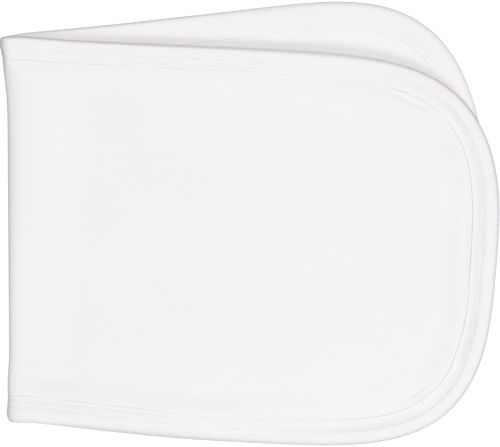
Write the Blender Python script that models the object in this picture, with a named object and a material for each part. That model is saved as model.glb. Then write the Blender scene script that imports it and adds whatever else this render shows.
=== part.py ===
"""Burp cloth: one knit panel with rounded ends, bound all round, folded once across its middle and laid flat.

The panel is cut as a long, slightly waisted shape. It is worked out here as a flat sheet, whose point (s, t) lies
s along the cloth and t across it, and is then carried into the folded cloth: the half with s below the fold line
lies on the surface, the fold turns over in a small roll, and the other half comes back on top, turned a little.
The binding is one strip folded over the panel's edge, carried the same way. All sizes are in metres, +Z is up.
"""

import math

import bmesh
import bpy
import numpy as np

# Cut shape of the cloth, lying flat, over its binding
HALF_LENGTH = 0.2527
WAIST_HALF_WIDTH = 0.0996
WIDEST_HALF_WIDTH = 0.1016
WIDEST_AT = 0.1180
END_POWER_ALONG = 4.33
END_POWER_ACROSS = 2.89

# Cloth and binding
PANEL_THICKNESS = 0.0010
PANEL_INSET = 0.0020
BINDING_WIDTH = 0.0127
BINDING_WALL = 0.0010
BINDING_HALF_HEIGHT = 0.00195

# Half of the binding's section, from its outer edge to its stitched inner edge
SECTION = {
    "in_from_edge": (0.0005, 0.00095, 0.0024, 0.0052, 0.0087, 0.0122),
    "off_the_middle": (0.0, 0.00095, 0.00145, 0.00140, 0.00140, 0.00140),
}

# The fold: each half lies HALF_FOLD_ANGLE to either side of the line square to the fold
FOLD_OFF_MIDDLE = 0.0017
HALF_FOLD_ANGLE = math.radians(5.16)
FOLD_TURN = math.radians(0.34)
FOLD_REACH_PANEL = 0.0014
FOLD_REACH_BINDING = 0.0026
REACH_CHANGE = 0.024
ROLL_HALF_HEIGHT = {"low": 0.0025, "top": 0.0040}
ROLL_FLATNESS = {"low": 2.1, "top": 2.7, "top_binding": 0.7}
ROLL_TIGHTENS = {"from": 0.076, "over": 0.012}
ROLL_SETTLES_OVER = 0.030
CORNER = {
    "at": ("upper", "lower"),
    "reach": (0.050, 0.024),
    "shift": (-0.0010, 0.0015),
    "slide": (-0.0010, -0.0008),
}
CORNER_FADES_OVER = 0.060
SLIDE_FADES_OVER = 0.014

# How far each half curves sideways, as a share of its length to the powers 2, 3 and 4
BEND = {
    "half": ("lower", "upper"),
    "square": (0.0365, 0.0190),
    "cube": (-0.1087, -0.0702),
    "fourth": (0.0783, 0.0519),
}

# The upper half's edge over the lower half spreads a little where it lies free
SPREAD = {"most": 0.0008, "at": 0.128, "width": 0.085, "from_fold": 0.030}

# How the halves lie on the surface and on each other
PANEL_SAGS_OVER = 0.012
LIP = 0.001
BETWEEN_LAYERS = 0.0013
CLEAR_OF_EDGE = 0.002
DROP_OUTSIDE = 0.020
DROP_INSIDE = 0.055
LOFT = 0.0010
LOFT_FROM = 0.015
LOFT_OVER = 0.035

# Soft dents and swells in the upper half, placed from the fold's middle
RELIEF = {
    "name": ("swell by the top curve", "dent by the top curve", "dent by the end", "swell by the end",
             "ridge by the low curve", "swell by the low curve", "dent by the low corner", "dent over the edge below"),
    "x": (0.1903, 0.2028, 0.2352, 0.2300, 0.2150, 0.1966, 0.0177, 0.1050),
    "y": (0.0656, 0.0700, -0.0086, -0.0130, -0.0862, -0.0860, -0.0797, -0.0906),
    "turn": (-15.0, -21.0, 90.0, 90.0, 32.0, 33.0, 0.0, -10.0),
    "length": (0.0312, 0.0200, 0.0150, 0.0120, 0.0130, 0.0080, 0.0130, 0.0166),
    "width": (0.0062, 0.0045, 0.0045, 0.0050, 0.0045, 0.0050, 0.0045, 0.0045),
    "rise": (0.0010, -0.0008, -0.0005, 0.0005, 0.0003, 0.0004, -0.0006, -0.0005),
}
RELIEF_CLEAR_OF_BINDING = 0.003
RELIEF_GROWS_OVER = 0.008

# Where the fold's middle lies, from the middle of the folded cloth's box
PLACE_X = -0.1234
PLACE_Y = -0.0022

# Fineness of the meshes: a spacing for each distance from the fold
ROW_SPACING = {
    "from_fold": (0.0, 0.0048, 0.014, 0.035, 0.140, 0.175, 0.235, 0.2544),
    "upper": (0.0010, 0.0010, 0.0016, 0.012, 0.012, 0.0050, 0.0045, 0.0018),
    "lower": (0.0010, 0.0010, 0.0016, 0.020, 0.024, 0.0200, 0.0070, 0.0018),
}
BINDING_SPACING = {
    "from_fold": (0.0, 0.0048, 0.014, 0.035, 0.150, 0.200, 0.2544),
    "upper": (0.0009, 0.0009, 0.0014, 0.013, 0.013, 0.008, 0.0085),
    "lower": (0.0009, 0.0009, 0.0014, 0.018, 0.018, 0.011, 0.0100),
}
PANEL_COLUMNS = 35
OUTLINE_STEPS = 60
LAST_ROW_SHORT_OF_TIP = 0.00012
SLANT_ROUNDS = 4
NORMAL_STEP = 0.00005

COS_FOLD = math.cos(HALF_FOLD_ANGLE)
SIN_FOLD = math.sin(HALF_FOLD_ANGLE)
QUARTER_TURN = math.pi / 2


def ease(x):
    """Rises smoothly from 0 to 1 as x goes from 0 to 1: 3x^2 - 2x^3."""
    x = np.clip(x, 0.0, 1.0)
    return x * x * (3.0 - 2.0 * x)


def mound(x, middle, width):
    """A smooth mound of height 1 at middle: exp(-((x - middle) / width)^2)."""
    return np.exp(-(((x - middle) / width) ** 2))


def half_width(s):
    """Half the cut width at s: a sine-squared swell from the waist, then a superellipse end."""
    along = np.abs(s)
    swell = np.sin(QUARTER_TURN * np.clip(along / WIDEST_AT, 0.0, 1.0)) ** 2
    side = WAIST_HALF_WIDTH + (WIDEST_HALF_WIDTH - WAIST_HALF_WIDTH) * swell
    share = np.clip((along - WIDEST_AT) / (HALF_LENGTH - WIDEST_AT), 0.0, 1.0)
    end = WIDEST_HALF_WIDTH * (1.0 - share**END_POWER_ALONG) ** (1.0 / END_POWER_ACROSS)
    return np.where(along < WIDEST_AT, side, end)


def cut_outline():
    """The flat outline as a closed run of points, anticlockwise: one quarter mirrored into four."""
    side = np.linspace(0.0, WIDEST_AT, OUTLINE_STEPS, endpoint=False)
    angle = np.linspace(0.0, QUARTER_TURN, 2 * OUTLINE_STEPS) ** 1.5 / QUARTER_TURN**0.5
    share = np.sin(angle) ** (2.0 / END_POWER_ALONG)
    end = WIDEST_AT + (HALF_LENGTH - WIDEST_AT) * share
    s = np.concatenate([side, end])
    cosine = np.maximum(np.cos(angle), 0.0)
    t = np.concatenate([half_width(side), WIDEST_HALF_WIDTH * cosine ** (2.0 / END_POWER_ACROSS)])
    quarter = np.column_stack([s, t])
    upper = np.concatenate([quarter[::-1], quarter[1:] * (-1.0, 1.0)])
    return np.concatenate([upper[:-1], upper[:-1] * -1.0])


OUTLINE = cut_outline()


def edge_distance(s, t):
    """How far (s, t) lies inside the cut outline, below 0 outside: the least distance to its short sides."""
    start = OUTLINE
    side = np.roll(OUTLINE, -1, axis=0) - start
    from_start = np.stack([s, t], axis=-1).reshape(-1, 1, 2) - start
    share = np.clip((from_start * side).sum(-1) / (side * side).sum(-1), 0.0, 1.0)
    gap = from_start - share[..., None] * side
    distance = np.sqrt((gap * gap).sum(-1).min(axis=1)).reshape(s.shape)
    outside = (np.abs(s) > HALF_LENGTH) | (np.abs(t) > half_width(s))
    return np.where(outside, -distance, distance)


def bend(half, from_fold):
    """Sideways curve of one half: the sum of three powers of its share of the length."""
    row = BEND["half"].index(half)
    share = from_fold / HALF_LENGTH
    return BEND["square"][row] * share**2 + BEND["cube"][row] * share**3 + BEND["fourth"][row] * share**4


def near_binding(inside):
    """1 within the binding, easing to 0 where the panel has sagged to its own level."""
    return 1.0 - ease((inside - BINDING_WIDTH - LIP) / PANEL_SAGS_OVER)


def fold_reach(along_fold):
    """How far the fold's middle surface stands out: further through the binding at each end than in the panel."""
    from_end = WAIST_HALF_WIDTH / COS_FOLD - np.abs(along_fold)
    share = 1.0 - ease((from_end - BINDING_WIDTH) / REACH_CHANGE)
    return FOLD_REACH_PANEL + (FOLD_REACH_BINDING - FOLD_REACH_PANEL) * share


def roll_size(along_fold):
    """Half the height of the fold's roll and how far it stands out, the half axes of its ellipse.

    Both grow evenly from the low corner to the top one, the reach more, and the roll is tight again in the top binding.
    """
    share = ease(0.5 + 0.5 * along_fold / WAIST_HALF_WIDTH)
    half_height = ROLL_HALF_HEIGHT["low"] + (ROLL_HALF_HEIGHT["top"] - ROLL_HALF_HEIGHT["low"]) * share
    flatness = ROLL_FLATNESS["low"] + (ROLL_FLATNESS["top"] - ROLL_FLATNESS["low"]) * share
    tight = ease((along_fold - ROLL_TIGHTENS["from"]) / ROLL_TIGHTENS["over"])
    flatness = flatness + (ROLL_FLATNESS["top_binding"] - flatness) * tight
    return half_height, half_height * flatness


def corner_shift(along_fold, column):
    """How far the fold strays from straight at its two corners: each row's shift, easing to 0 at its reach."""
    end = WAIST_HALF_WIDTH / COS_FOLD
    from_end = {"upper": end - along_fold, "lower": end + along_fold}
    shift = np.zeros_like(along_fold)
    for at, reach, most in zip(CORNER["at"], CORNER["reach"], CORNER[column]):
        shift = shift + most * (1.0 - ease(from_end[at] / reach))
    return shift


def support_height(from_fold, along_fold):
    """Height of what lies under a point of the upper half: the lower half's binding or panel, or the surface.

    The point beneath is the mirror image in the fold line, moved by the difference of the two halves' bends.
    The height is held past both edges of the lower binding and drops beyond them with an ease.
    """
    across = along_fold - bend("upper", from_fold) + bend("lower", from_fold)
    s = -from_fold * COS_FOLD - across * SIN_FOLD - FOLD_OFF_MIDDLE
    t = -from_fold * SIN_FOLD + across * COS_FOLD
    inside = edge_distance(s, t)
    dropped_out = ease((-inside - CLEAR_OF_EDGE) / DROP_OUTSIDE)
    dropped_in = ease((inside - BINDING_WIDTH - CLEAR_OF_EDGE) / DROP_INSIDE)
    on_binding = (1.0 - dropped_out) * (1.0 - dropped_in)
    height = 2.0 * BINDING_HALF_HEIGHT * on_binding + PANEL_THICKNESS * dropped_in
    return height, on_binding


def relief_height(x, y):
    """Sum of the dents and swells: each is its rise times exp(-(along/length)^2 - (across/width)^2)."""
    total = np.zeros_like(x)
    for row in range(len(RELIEF["name"])):
        turn = math.radians(RELIEF["turn"][row])
        dx = x - RELIEF["x"][row]
        dy = y - RELIEF["y"][row]
        along = (dx * math.cos(turn) + dy * math.sin(turn)) / RELIEF["length"][row]
        across = (dy * math.cos(turn) - dx * math.sin(turn)) / RELIEF["width"][row]
        total = total + RELIEF["rise"][row] * np.exp(-(along**2) - across**2)
    return total


def middle_of_cloth(s, t):
    """The folded place of flat points (s, t), half-way through the cloth's thickness.

    d is the distance from the fold line and m the distance along it. Within a quarter turn of the roll either way
    the point lies on an ellipse; past it, the distance from the roll is |d| less the length of a quarter of the
    ellipse. The lower half lies at its own half thickness. The upper half adds the height of what is under it and an
    easing from the roll's height, and its middle keeps a little loft.
    """
    from_fold_middle = s + FOLD_OFF_MIDDLE
    d = from_fold_middle * COS_FOLD + t * SIN_FOLD
    m = -from_fold_middle * SIN_FOLD + t * COS_FOLD
    from_fold = np.abs(d)
    inside = edge_distance(s, t)
    bound = near_binding(inside)
    half_height, reach = roll_size(m)
    quarter = QUARTER_TURN * np.sqrt((half_height**2 + reach**2) / 2.0)
    turned = QUARTER_TURN * np.clip(d / quarter, -1.0, 1.0)
    run = np.maximum(from_fold - quarter, 0.0)

    away = ease(from_fold / CORNER_FADES_OVER)
    out = run - reach * np.cos(turned)
    out = out + (quarter - QUARTER_TURN * FOLD_REACH_PANEL) * away
    out = out + (reach - fold_reach(m) + corner_shift(m, "shift")) * (1.0 - away)
    across = m - np.where(d > 0.0, bend("upper", from_fold), bend("lower", from_fold))
    across = across + corner_shift(m, "slide") * (1.0 - ease(from_fold / SLIDE_FADES_OVER))
    free = mound(d, SPREAD["at"], SPREAD["width"]) * ease(d / SPREAD["from_fold"])
    across = across + SPREAD["most"] * free * ease(m / WAIST_HALF_WIDTH)

    under, on_binding = support_height(from_fold, m)
    loft = LOFT * ease((inside - LOFT_FROM) / LOFT_OVER) * (1.0 - on_binding)
    lying = under + BETWEEN_LAYERS + loft
    settled = ease(run / ROLL_SETTLES_OVER)
    rolled = half_height * (1.0 + np.sin(turned))
    lift = np.where(d > 0.0, lying * settled + rolled * (1.0 - settled), rolled)
    x = out * math.cos(FOLD_TURN) - across * math.sin(FOLD_TURN)
    y = out * math.sin(FOLD_TURN) + across * math.cos(FOLD_TURN)
    clear = ease((inside - BINDING_WIDTH - RELIEF_CLEAR_OF_BINDING) / RELIEF_GROWS_OVER)
    relief = np.where(d > 0.0, relief_height(x, y) * clear * settled, 0.0)
    height = PANEL_THICKNESS / 2 + bound * (BINDING_HALF_HEIGHT - PANEL_THICKNESS / 2) + lift + relief
    return np.stack([x + PLACE_X, y + PLACE_Y, height], axis=-1)


def place(s, t, off=0.0):
    """The folded place of (s, t), moved off the cloth's middle along its normal, towards the cloth's outer face."""
    along = middle_of_cloth(s + NORMAL_STEP, t) - middle_of_cloth(s - NORMAL_STEP, t)
    across = middle_of_cloth(s, t + NORMAL_STEP) - middle_of_cloth(s, t - NORMAL_STEP)
    normal = np.cross(along, across)
    normal = normal / np.linalg.norm(normal, axis=-1, keepdims=True)
    return middle_of_cloth(s, t) + np.asarray(off)[..., None] * normal


def inset(points, by):
    """Points of a closed anticlockwise outline moved inwards along its normals by the given distances."""
    tangent = np.roll(points, -1, axis=0) - np.roll(points, 1, axis=0)
    tangent = tangent / np.linalg.norm(tangent, axis=1, keepdims=True)
    inward = np.column_stack([-tangent[:, 1], tangent[:, 0]])
    return points[:, None, :] + inward[:, None, :] * np.reshape(by, (1, -1, 1))


def even_stations(length, spacing):
    """Places along a run whose spacing varies: equal steps of the integral of 1 / spacing."""
    middle = 0.5 * (spacing[1:] + spacing[:-1])
    count = np.concatenate([[0.0], np.cumsum(np.diff(length) / middle)])
    return np.interp(np.linspace(0.0, count[-1], int(round(count[-1])) + 1), count, length)


def panel_rows(half, reach):
    """Distances of one half's rows from the fold line, the last just short of the panel's tip."""
    fine = np.linspace(0.0, reach - PANEL_INSET - LAST_ROW_SHORT_OF_TIP, 2000)
    return even_stations(fine, np.interp(fine, ROW_SPACING["from_fold"], ROW_SPACING[half]))


def panel_grid():
    """Flat (s, t) of the panel's rows and columns: rows follow the fold line near it and turn square away from it."""
    inner = inset(OUTLINE, PANEL_INSET)[:, 0]
    upper = inner[inner[:, 1] > 0.0]
    upper = upper[np.argsort(upper[:, 0])]
    below = panel_rows("lower", HALF_LENGTH - FOLD_OFF_MIDDLE)
    above = panel_rows("upper", HALF_LENGTH + FOLD_OFF_MIDDLE)
    row = np.concatenate([-below[:0:-1], above])[:, None]
    column = np.sin(QUARTER_TURN * np.linspace(-1.0, 1.0, PANEL_COLUMNS))[None, :]
    slant = math.tan(HALF_FOLD_ANGLE) * (1.0 - ease(2.0 * np.abs(row) / HALF_LENGTH))
    t = column * np.interp(row, upper[:, 0], upper[:, 1])
    for _ in range(SLANT_ROUNDS):
        s = row - t * slant - FOLD_OFF_MIDDLE
        t = column * np.interp(s, upper[:, 0], upper[:, 1])
    return s, t


def binding_grid():
    """Flat (s, t) of the binding's stations and section points, and each section point's place off the middle."""
    closed = np.concatenate([OUTLINE, OUTLINE[:1]])
    length = np.concatenate([[0.0], np.cumsum(np.linalg.norm(np.diff(closed, axis=0), axis=1))])
    fine = np.linspace(0.0, length[-1], 6000)
    s = np.interp(fine, length, closed[:, 0])
    t = np.interp(fine, length, closed[:, 1])
    d = (s + FOLD_OFF_MIDDLE) * COS_FOLD + t * SIN_FOLD
    above = np.interp(d, BINDING_SPACING["from_fold"], BINDING_SPACING["upper"])
    below = np.interp(-d, BINDING_SPACING["from_fold"], BINDING_SPACING["lower"])
    spacing = np.where(d > 0.0, above, below)
    station = even_stations(fine, spacing)[:-1]
    path = np.column_stack([np.interp(station, fine, s), np.interp(station, fine, t)])
    depth = np.array(SECTION["in_from_edge"])
    off = np.array(SECTION["off_the_middle"])
    depth = np.concatenate([depth[::-1], depth[1:]])
    off = np.concatenate([off[::-1], -off[1:]])
    flat = inset(path, depth)
    return flat[..., 0], flat[..., 1], np.broadcast_to(off, flat.shape[:2])


def grid_faces(rows, columns, wrap):
    """Four-sided faces between neighbouring rows and columns, joining the last row to the first if wrap is set."""
    row = np.arange(rows if wrap else rows - 1)[:, None]
    column = np.arange(columns - 1)[None, :]
    after = (row + 1) % rows
    corners = (row * columns + column, after * columns + column, after * columns + column + 1, row * columns + column + 1)
    return np.stack(np.broadcast_arrays(*corners), axis=-1).reshape(-1, 4)


def knit_material(name, colour):
    """Matt cotton knit: a Principled BSDF of the given linear colour."""
    material = bpy.data.materials.new(name)
    material.use_nodes = True
    shader = material.node_tree.nodes["Principled BSDF"]
    shader.inputs["Base Color"].default_value = (*colour, 1.0)
    shader.inputs["Roughness"].default_value = 0.9
    shader.inputs["Metallic"].default_value = 0.0
    material.diffuse_color = (*colour, 1.0)
    return material


def sheet_object(name, points, faces, thickness, material, parent):
    """An object whose mesh is the cloth's middle surface, given its thickness by a Solidify modifier."""
    mesh = bpy.data.meshes.new(name)
    mesh.from_pydata(points.reshape(-1, 3).tolist(), [], faces.tolist())
    tidy = bmesh.new()
    tidy.from_mesh(mesh)
    bmesh.ops.recalc_face_normals(tidy, faces=tidy.faces)
    tidy.to_mesh(mesh)
    tidy.free()
    mesh.materials.append(material)
    mesh.shade_smooth()
    made = bpy.data.objects.new(name, mesh)
    bpy.context.scene.collection.objects.link(made)
    made.parent = parent
    solid = made.modifiers.new("thickness", "SOLIDIFY")
    solid.thickness = thickness
    solid.offset = 0.0
    return made


def make_panel(parent):
    """The one-ply panel, folded in half."""
    s, t = panel_grid()
    faces = grid_faces(*s.shape, wrap=False)
    return sheet_object("panel", place(s, t), faces, PANEL_THICKNESS,
                        knit_material("white cotton knit", (0.871, 0.871, 0.871)), parent)


def make_binding(parent):
    """The binding: one strip folded over the panel's edge, closed on itself."""
    s, t, off = binding_grid()
    faces = grid_faces(*s.shape, wrap=True)
    return sheet_object("binding", place(s, t, off), faces, BINDING_WALL,
                        knit_material("white binding knit", (0.888, 0.871, 0.880)), parent)


def main():
    for old in list(bpy.data.objects):
        bpy.data.objects.remove(old, do_unlink=True)
    cloth = bpy.data.objects.new("burp_cloth", None)
    bpy.context.scene.collection.objects.link(cloth)
    make_panel(cloth)
    make_binding(cloth)


main()
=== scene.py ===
"""Burp cloth: a white knit panel with rounded ends and a sewn binding, folded once across its middle and laid flat.

Every point of the cloth has a flat place (s, t), s along the cloth and t across it, in metres. middle_of_cloth carries
that place into the folded cloth, and each surface here is a grid of flat places moved off that middle along its normal.
"""

import math

import bpy
import numpy as np
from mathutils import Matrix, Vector


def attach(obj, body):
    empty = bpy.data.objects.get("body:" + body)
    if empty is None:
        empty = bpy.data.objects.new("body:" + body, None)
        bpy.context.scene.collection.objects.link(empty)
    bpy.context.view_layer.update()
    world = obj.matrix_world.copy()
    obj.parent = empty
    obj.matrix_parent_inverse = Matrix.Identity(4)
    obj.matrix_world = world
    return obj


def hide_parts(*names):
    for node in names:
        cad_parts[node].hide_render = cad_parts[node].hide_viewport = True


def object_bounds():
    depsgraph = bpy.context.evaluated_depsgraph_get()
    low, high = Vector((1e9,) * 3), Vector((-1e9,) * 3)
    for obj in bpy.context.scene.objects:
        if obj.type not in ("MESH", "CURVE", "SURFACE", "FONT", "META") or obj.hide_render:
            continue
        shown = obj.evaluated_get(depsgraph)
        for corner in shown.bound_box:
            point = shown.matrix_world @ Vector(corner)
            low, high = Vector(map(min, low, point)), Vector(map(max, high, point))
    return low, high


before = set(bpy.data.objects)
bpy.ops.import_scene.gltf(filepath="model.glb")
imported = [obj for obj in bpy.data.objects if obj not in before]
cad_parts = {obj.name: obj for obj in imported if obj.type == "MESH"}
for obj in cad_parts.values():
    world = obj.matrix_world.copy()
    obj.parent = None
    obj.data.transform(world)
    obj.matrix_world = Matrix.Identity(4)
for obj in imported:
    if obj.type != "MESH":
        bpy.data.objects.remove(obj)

bl_info = {
    "name": "Burp cloth",
    "version": (1, 0, 0),
    "blender": (4, 5, 0),
    "location": "View3D > Sidebar > Burp cloth",
    "description": "Builds a folded knit burp cloth with its binding, stitches and a studio stage",
    "category": "Object",
}

CAD_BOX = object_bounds()

# Cut shape of the cloth, lying flat, over its binding
HALF_LENGTH = 0.2527
WAIST_HALF_WIDTH = 0.0996
WIDEST_HALF_WIDTH = 0.1016
WIDEST_AT = 0.1180
END_POWER_ALONG = 4.33
END_POWER_ACROSS = 2.89
OUTLINE_STEPS = 60
OUTLINE_CROWDS = 1.5

# Cloth and binding
PANEL_THICKNESS = 0.0010
PANEL_INSET = 0.0020
BINDING_WIDTH = 0.0127
BINDING_HALF_HEIGHT = 0.00195

# The fold: each half lies HALF_FOLD_ANGLE to either side of the line square to the fold
FOLD_OFF_MIDDLE = 0.0017
HALF_FOLD_ANGLE = math.radians(5.16)
FOLD_TURN = math.radians(0.34)
FOLD_REACH_PANEL = 0.0014
FOLD_REACH_BINDING = 0.0026
REACH_CHANGE = 0.024
ROLL_HALF_HEIGHT = {"low": 0.0025, "top": 0.0040}
ROLL_FLATNESS = {"low": 2.1, "top": 2.7, "top_binding": 0.7}
ROLL_TIGHTENS = {"from": 0.076, "over": 0.012}
ROLL_SETTLES_OVER = 0.030
CORNER = {
    "at": ("upper", "lower"),
    "reach": (0.050, 0.024),
    "shift": (-0.0010, 0.0015),
    "slide": (-0.0010, -0.0008),
}
CORNER_FADES_OVER = 0.060
SLIDE_FADES_OVER = 0.014

# How far each half curves sideways, as a share of its length to the powers 2, 3 and 4
BEND = {
    "half": ("lower", "upper"),
    "square": (0.0365, 0.0190),
    "cube": (-0.1087, -0.0702),
    "fourth": (0.0783, 0.0519),
}

# The upper half's edge over the lower half spreads a little where it lies free
SPREAD = {"most": 0.0008, "at": 0.128, "width": 0.085, "from_fold": 0.030}

# How the halves lie on the surface and on each other
PANEL_SAGS_OVER = 0.012
LIP = 0.001
BETWEEN_LAYERS = 0.0013
CLEAR_OF_EDGE = 0.002
DROP_OUTSIDE = 0.020
DROP_INSIDE = 0.055
LOFT = 0.0010
LOFT_FROM = 0.015
LOFT_OVER = 0.035

# Soft dents and swells in the upper half, placed from the fold's middle; they fade out at the binding
RELIEF = {
    "name": ("swell by the top curve", "dent by the top curve", "dent by the end", "swell by the end",
             "ridge by the low curve", "swell by the low curve", "dent by the low corner", "dent over the edge below"),
    "x": (0.1903, 0.2079, 0.2352, 0.2300, 0.2130, 0.1966, 0.0177, 0.1050),
    "y": (0.0656, 0.0664, -0.0086, -0.0130, -0.0862, -0.0860, -0.0797, -0.0906),
    "turn": (-15.0, -27.0, 90.0, 90.0, 32.0, 33.0, 0.0, -10.0),
    "length": (0.0312, 0.0150, 0.0150, 0.0120, 0.0130, 0.0080, 0.0130, 0.0166),
    "width": (0.0054, 0.0024, 0.0022, 0.0040, 0.0013, 0.0050, 0.0042, 0.0042),
    "rise": (0.0020, -0.0016, -0.0006, 0.0006, 0.0012, 0.0005, -0.0010, -0.0005),
}
RELIEF_GROWS_OVER = 0.003

# Where the fold's middle lies, from the middle of the folded cloth's box
PLACE_X = -0.1234
PLACE_Y = -0.0022

# Fineness of the panel's grid: a row spacing for each distance from the fold
ROW_SPACING = {
    "from_fold": (0.0, 0.0060, 0.0180, 0.1800, 0.2080, 0.2544),
    "upper": (0.00042, 0.00042, 0.0019, 0.0019, 0.0009, 0.0009),
    "lower": (0.00042, 0.00042, 0.0024, 0.0024, 0.0024, 0.0024),
}
PANEL_COLUMNS = 156
LAST_ROW_SHORT_OF_TIP = 0.00012
FINE_STEPS = 4000
SLANT_ROUNDS = 4
NORMAL_STEP = 0.00005
TANGENT_STEP = 0.0005

# Turns round the cloth run anticlockwise from the upper half's tip; the fold's top end is at 0.25, the other tip at
# 0.5. First the binding's width on the outer face and on the inner one
WIDTH = {
    "turns": (-0.225, -0.195, -0.16, -0.12, -0.075, -0.045, -0.02, 0.0, 0.0225, 0.055, 0.09, 0.125, 0.165, 0.205, 0.25),
    "outer": (0.0137, 0.0136, 0.0124, 0.0136, 0.0136, 0.0133, 0.0130, 0.0136, 0.0140, 0.0137, 0.0129, 0.0126, 0.0118,
              0.0118, 0.0122),
}
INNER_WIDTH = {
    "turns": (0.25, 0.29, 0.328, 0.365, 0.40, 0.50),
    "width": (0.0139, 0.0150, 0.0149, 0.0142, 0.0139, 0.0139),
}

# How hard the outer row of stitches draws the binding in, and how proud its inner edge stands
PULL = {
    "turns": (-0.22, -0.15, -0.13, -0.11, -0.09, -0.07, -0.053, -0.03, 0.0, 0.03, 0.06, 0.085, 0.11, 0.14, 0.20, 0.25,
              0.5, 0.70),
    "share": (0.05, 0.08, 0.28, 0.65, 0.88, 1.05, 1.25, 0.95, 0.70, 0.85, 1.10, 1.00, 0.50, 0.10, 0.06, 0.04, 0.10,
              0.04),
}
LIP_STEP = {
    "turns": (-0.23, -0.20, -0.15, -0.11, -0.065, 0.0, 0.04, 0.08, 0.14, 0.20, 0.25, 0.35, 0.45, 0.55, 0.70),
    "share": (0.15, 0.10, 0.0, 0.20, 1.0, 0.55, 0.50, 0.25, 0.15, 0.20, 0.30, 0.10, 0.25, 0.50, 0.20),
}

# How the outer edge rounds off: how far in its wide round reaches, and the share that a tight round has in it
EDGE_ROUND = {
    "turns": (-0.24, -0.15, -0.09, -0.04, 0.0, 0.04, 0.09, 0.13, 0.17, 0.21, 0.27, 0.33, 0.37, 0.40, 0.5, 0.73),
    "wide": (0.0030, 0.0031, 0.0026, 0.0022, 0.0024, 0.0022, 0.0016, 0.0022, 0.0019, 0.0014, 0.0016, 0.0017, 0.0028,
             0.0025, 0.0031, 0.0031),
    "tight_share": (0.25, 0.22, 0.30, 0.36, 0.34, 0.30, 0.08, 0.05, 0.05, 0.08, 0.36, 0.36, 0.36, 0.36, 0.36, 0.36),
}
EDGE_TIGHT = 0.00036

# How far the upper half's edge droops, or stands up where that is below 0, and how far in from the edge
DROOP = {
    "turns": (-0.24, -0.20, -0.11, -0.08, -0.055, -0.03, 0.0, 0.05, 0.09, 0.12, 0.18, 0.215, 0.24),
    "most": (0.0002, 0.0009, 0.0009, 0.0004, -0.0011, -0.0003, 0.0004, 0.0010, 0.0011, 0.0, 0.0, -0.0007, 0.0),
    "reach": (0.006, 0.006, 0.006, 0.008, 0.012, 0.009, 0.006, 0.006, 0.006, 0.006, 0.006, 0.009, 0.006),
}

# Slow uneven ripples round the cloth: how many waves each sine has, and how high it is
RIPPLE_LAG = 1.7
RIPPLE = {
    "outer_width": ((23, 31, 57), (0.00008, 0.00006, 0.00005)),
    "inner_width": ((5, 17, 41), (0.00012, 0.00008, 0.00006)),
    "pull": ((17, 29, 53), (0.06, 0.05, 0.05)),
    "inner_edge": ((19, 37, 61), (0.06, 0.05, 0.05)),
}

# How the binding's face rises from its inner edge to the bead, and how the two rows of stitches press into it
EVEN_RISE = {"from": 0.0005, "over": 0.0080}
LATE_RISE = {"from": 0.0026, "over": 0.0046}
PUFF_BETWEEN_ROWS = {"rise": 0.00012, "width": 0.0010}
FURROW_WIDTH = 0.00045
PRESS = {"least": 0.00010, "more_at_needle": 0.00008, "more_where_pulled": 0.00008}
CLEAR_OF_PANEL = 0.00062

# The binding's section: the hollow that holds the panel, and its faces' points, placed by their distance from the
# inner edge where the binding is BINDING_WIDTH wide
EDGE_POINTS = (0.01266, 0.01252, 0.01234, 0.0119, 0.0113, 0.0106, 0.0098)
OUTER_POINTS = (0.0090, 0.0082, 0.0076, 0.0070, 0.0065, 0.0060, 0.0055, 0.0050, 0.0044, 0.0037, 0.0030, 0.0025, 0.0021,
                0.00185, 0.0016, 0.0013, 0.0009)
INNER_POINTS = (0.0088, 0.0076, 0.0064, 0.0054, 0.0044, 0.0034, 0.0025, 0.0016)
LIP_ROUND = 0.0005
LIP_POINTS = 2
LIP_OVER_PANEL = 0.00046
LIP_FOLD = 0.0004
HOLLOW = {"from_edge": (0.0020, 0.0015), "off_the_middle": (0.00062, 0.0)}
STEPS_PER_STITCH = 4

# Threads: the needle thread arches out of its holes, the looper thread swings from row to row and rests at each
NEEDLE = {"steps": 8, "sides": 6, "arch": 1.2, "arch_power": 0.6, "sunk": 1.0}
LOOPER = {"steps": 10, "sides": 5, "swing": 1.25, "sunk": 0.2}

# Finishes of the knit and of the thread. The knit's colour carries a painted shade, darker in the valleys between its
# ribs
KNIT = {
    "roughness": 0.92, "ior": 1.45, "specular": 0.2, "sheen_roughness": 0.5, "panel_sheen": 0.15, "binding_sheen": 0.1,
    "fuzz": 0.5, "fuzz_in_wales": 3, "v_cut": 0.22, "patch_scale": 22.0, "patch_shade": 0.02, "painted_rib_shade": 0.03,
}
# The thread's colour carries a painted shade, darker in the grooves between its plies
THREAD = {"roughness": 0.6, "ior": 1.5, "twist": 0.0009, "ply_depth": 0.00006, "ply_bump": 0.6, "painted_ply_shade": 0.06}

# Stage: where each softbox hangs, leaning from overhead towards the low edge and turned from there to the right
FLOOR_REACH = 5.0
FLOOR_ROUGHNESS = 0.95
SOFTBOX_DISTANCE = 2.2
SOFTBOXES = {
    "overhead_softbox": {"power": "key_power", "size": 0.6, "lean": 0.0, "turn": 0.0},
    "front_softbox": {"power": "front_power", "size": 0.8, "lean": math.radians(46.0), "turn": math.radians(28.0)},
    "back_softbox": {"power": "back_power", "size": 0.8, "lean": math.radians(-46.0), "turn": 0.0},
}
SENSOR_WIDTH = 36.0
AIM_RIGHT_OF_MIDDLE = 0.00026
AIM_HEIGHT = 0.003
CAMERA_SEES_TO = 20.0

COS_FOLD = math.cos(HALF_FOLD_ANGLE)
SIN_FOLD = math.sin(HALF_FOLD_ANGLE)
QUARTER_TURN = math.pi / 2
FULL_TURN = 2 * math.pi


def linear(hex_colour):
    """An sRGB hex colour as linear red, green and blue."""
    channels = [int(hex_colour[i : i + 2], 16) / 255 for i in (1, 3, 5)]
    return tuple(c / 12.92 if c <= 0.04045 else ((c + 0.055) / 1.055) ** 2.4 for c in channels)


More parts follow.
